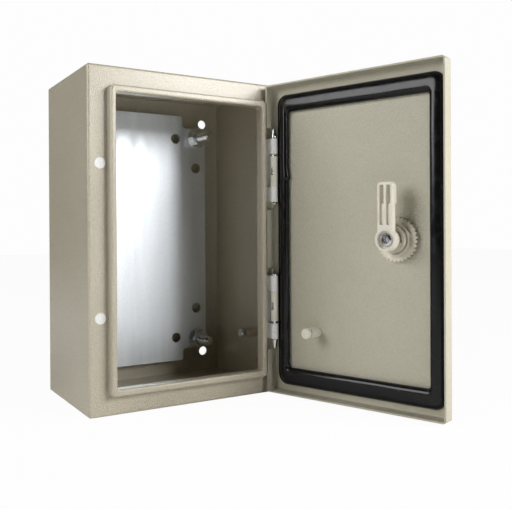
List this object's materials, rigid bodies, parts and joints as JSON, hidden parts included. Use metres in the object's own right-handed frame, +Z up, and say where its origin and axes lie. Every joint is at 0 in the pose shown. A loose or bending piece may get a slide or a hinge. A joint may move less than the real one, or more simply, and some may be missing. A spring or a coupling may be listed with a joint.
{
  "type": "steel wall enclosure",
  "caption": "Small sheet-steel wall enclosure with a galvanised mounting plate, a raised sealing lip and a gasketed door on pin hinges with a quarter-turn lock.",
  "frame": {"origin": "middle of the rear wall's outer face, between the four fixing holes", "axes": "+Y out of the back into the building's wall, +Z up, +X to the hinged side; the door opens toward -Y"},
  "size_m": [0.245, 0.3031, 0.3],
  "materials": {
    "body_paint": "fine textured powder coat",
    "door_paint": "fine textured powder coat",
    "galvanised_plate": "galvanised sheet",
    "plated_steel": "zinc plated",
    "white_hinge_steel": "satin paint",
    "pin_steel": "bright",
    "white_plastic": "smooth",
    "gasket_foam": "smooth foamed skin",
    "lock_cast": "satin",
    "lock_seal_rubber": "matte",
    "lever_cast": "satin"
  },
  "bodies": {
    "enclosure": {"body_shell": "body_paint", "mounting_plate": "galvanised_plate", "plate_studs": "plated_steel", "plate_spacers": "plated_steel", "plate_washers": "plated_steel", "plate_nuts": "plated_steel", "body_earth_stud": "plated_steel", "body_earth_sleeve": "body_paint", "body_earth_cap": "body_paint", "hinge_bracket_upper": "white_hinge_steel", "hinge_bracket_lower": "white_hinge_steel", "hinge_bracket_washers": "plated_steel", "hinge_bracket_nuts": "plated_steel", "hinge_pin_upper": "pin_steel", "hinge_pin_lower": "pin_steel", "spare_hole_plugs": "white_plastic"},
    "door": {"door_panel": "door_paint", "door_knuckle_upper": "door_paint", "door_knuckle_lower": "door_paint", "door_gasket": "gasket_foam", "door_earth_stud": "plated_steel", "door_earth_sleeve": "door_paint", "door_earth_cap": "door_paint", "lock_housing": "lock_cast", "lock_seal": "lock_seal_rubber", "lock_ring_nut": "lock_cast", "lock_stop_ring": "lock_cast"},
    "lock": {"lock_rotor": "lock_cast", "lock_lever": "lever_cast", "lock_screw": "plated_steel"}
  },
  "joints": [
    {"name": "door_hinge", "type": "hinge", "parent": "enclosure", "child": "door", "pos_m": [0.0855, -0.134, 0], "axis": [0, 0, 1], "range_deg": [-109, 3]},
    {"name": "lock_turn", "type": "hinge", "parent": "door", "child": "lock", "pos_m": [0.1339, -0.2543, 0], "axis": [0.9455, 0.3256, 0], "range_deg": [0, 90]}
  ]
}
